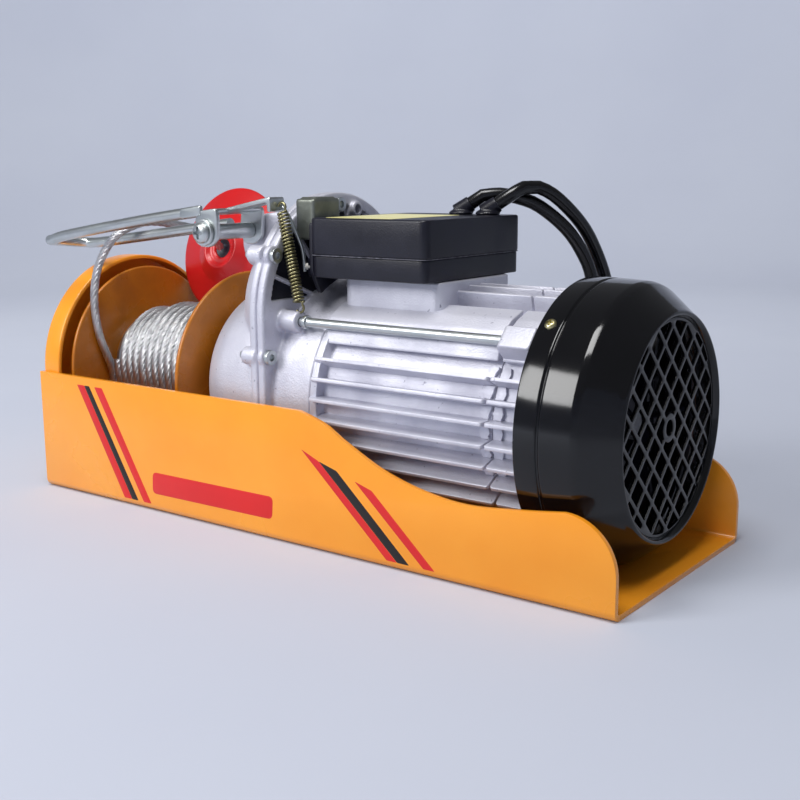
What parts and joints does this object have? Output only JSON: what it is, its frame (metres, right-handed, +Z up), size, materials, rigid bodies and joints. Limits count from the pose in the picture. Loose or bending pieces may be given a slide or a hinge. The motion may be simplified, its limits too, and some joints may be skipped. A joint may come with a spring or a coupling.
{
  "type": "electric wire rope hoist",
  "caption": "Compact electric rope hoist on a bent channel frame: finned motor, gear case, rope drum, rope limit lever, weight and hook, handset and mains lead.",
  "frame": {"origin": "middle of the frame channel's underside", "axes": "+X from the drum to the motor, +Z up from the frame"},
  "size_m": [0.4283, 0.3123, 0.2004],
  "materials": {
    "orange_paint": "gloss paint on sheet steel",
    "red_paint": "gloss paint on a cast disc",
    "cast_aluminium": "as cast, grainy",
    "zinc_plate": "bright zinc plate",
    "yellow_zinc": "yellow zinc plate",
    "steel": "machined steel",
    "rope_wire": "bright stranded wire",
    "copper_winding": "varnished copper wire",
    "black_gloss_paint": "gloss black paint",
    "black_plastic": "matt moulded plastic",
    "cable_pvc": "smooth soft cable sheath",
    "white_nylon": "white moulded plastic",
    "green_button": "moulded plastic",
    "red_button": "moulded plastic"
  },
  "bodies": {
    "main": {"frame_channel": "orange_paint", "drum_end_plate": "orange_paint", "limit_weight": "red_paint", "gear_case_front": "cast_aluminium", "gear_case_rear": "cast_aluminium", "motor_housing": "cast_aluminium", "rear_end_shield": "cast_aluminium", "limit_switch": "cast_aluminium", "gear_case_bolt_1": "zinc_plate", "gear_case_bolt_2": "zinc_plate", "gear_case_bolt_3": "zinc_plate", "gear_case_bolt_4": "zinc_plate", "gear_case_bolt_5": "zinc_plate", "tie_rod_1": "zinc_plate", "tie_rod_2": "zinc_plate", "lever_pivot_screw": "zinc_plate", "lever_spring": "yellow_zinc", "drum_end_bearing": "steel", "drum_bearing": "steel", "layshaft_front_bearing": "steel", "layshaft_rear_bearing": "steel", "motor_front_bearing": "steel", "motor_rear_bearing": "steel", "stator_core": "steel", "rope_free": "rope_wire", "stator_winding_front": "copper_winding", "stator_winding_rear": "copper_winding", "fan_cover": "black_gloss_paint", "terminal_box": "black_plastic", "terminal_box_lid": "black_plastic", "wiring_neck": "black_plastic", "pendant_gland": "black_plastic", "mains_gland": "black_plastic", "pendant_cable_tie": "black_plastic", "mains_cable_tie": "black_plastic", "power_plug": "black_plastic", "pendant_case": "black_plastic", "pendant_cable": "cable_pvc", "mains_cable": "cable_pvc", "pendant_cable_coil": "cable_pvc", "mains_cable_coil": "cable_pvc", "run_capacitor": "white_nylon"},
    "drum": {"rope_drum": "orange_paint", "drum_shaft": "steel", "drum_gear": "steel", "rope_inner_layers": "rope_wire", "rope_winding": "rope_wire"},
    "layshaft": {"layshaft": "steel", "layshaft_wheel": "steel"},
    "rotor": {"motor_shaft": "steel", "rotor_core": "steel", "cooling_fan": "black_plastic"},
    "limit_lever": {"limit_lever_bracket": "zinc_plate", "limit_lever_loop": "zinc_plate"},
    "switch_plunger": {"switch_plunger": "white_nylon"},
    "hook": {"hook": "steel"},
    "hook_latch": {"hook_latch": "zinc_plate"},
    "button_up": {"button_up": "green_button"},
    "button_down": {"button_down": "green_button"},
    "button_stop": {"button_stop": "red_button"}
  },
  "joints": [
    {"name": "drum_spin", "type": "hinge", "parent": "main", "child": "drum", "pos_m": [0, 0, 0.078], "axis": [1, 0, 0], "continuous": true},
    {"name": "layshaft_spin", "type": "hinge", "parent": "main", "child": "layshaft", "pos_m": [0, 0, 0.126], "axis": [1, 0, 0], "continuous": true},
    {"name": "rotor_spin", "type": "hinge", "parent": "main", "child": "rotor", "pos_m": [0, 0, 0.078], "axis": [1, 0, 0], "continuous": true},
    {"name": "limit_lever_swing", "type": "hinge", "parent": "main", "child": "limit_lever", "pos_m": [-0.06, -0.045, 0.172], "axis": [0, -1, 0], "range_deg": [0, 3], "stiffness_Nm_per_rad": 1.5, "springref_deg": -11.46, "deforming": ["lever_spring"]},
    {"name": "switch_plunger_slide", "type": "slide", "parent": "main", "child": "switch_plunger", "axis": [1, 0, 0], "range_m": [0, 0.0012]},
    {"name": "hook_swivel", "type": "hinge", "parent": "main", "child": "hook", "pos_m": [-0.14848, 0.04259, 0.15268], "axis": [0.1002, 0.4609, -0.8818], "range_deg": [-20, 20]},
    {"name": "hook_latch_swing", "type": "hinge", "parent": "hook", "child": "hook_latch", "pos_m": [-0.1415, 0.05366, 0.13204], "axis": [-0.052, 0.8874, 0.458], "range_deg": [0, 30], "stiffness_Nm_per_rad": 0.02, "springref_deg": -17.19},
    {"name": "button_up_press", "type": "slide", "parent": "main", "child": "button_up", "axis": [0, 0, -1], "range_m": [0, 0.0025], "stiffness_N_per_m": 400, "springref_m": -0.001},
    {"name": "button_down_press", "type": "slide", "parent": "main", "child": "button_down", "axis": [0, 0, -1], "range_m": [0, 0.0025], "stiffness_N_per_m": 400, "springref_m": -0.001},
    {"name": "button_stop_press", "type": "slide", "parent": "main", "child": "button_stop", "axis": [0, 0, -1], "range_m": [0, 0.0025], "stiffness_N_per_m": 400, "springref_m": -0.001}
  ],
  "couplings": [
    {"joint": "layshaft_spin", "follows": "drum_spin", "ratio": -3.8},
    {"joint": "rotor_spin", "follows": "drum_spin", "ratio": 14.44},
    {"joint": "switch_plunger_slide", "follows": "limit_lever_swing", "m_per_rad": 0.022}
  ]
}
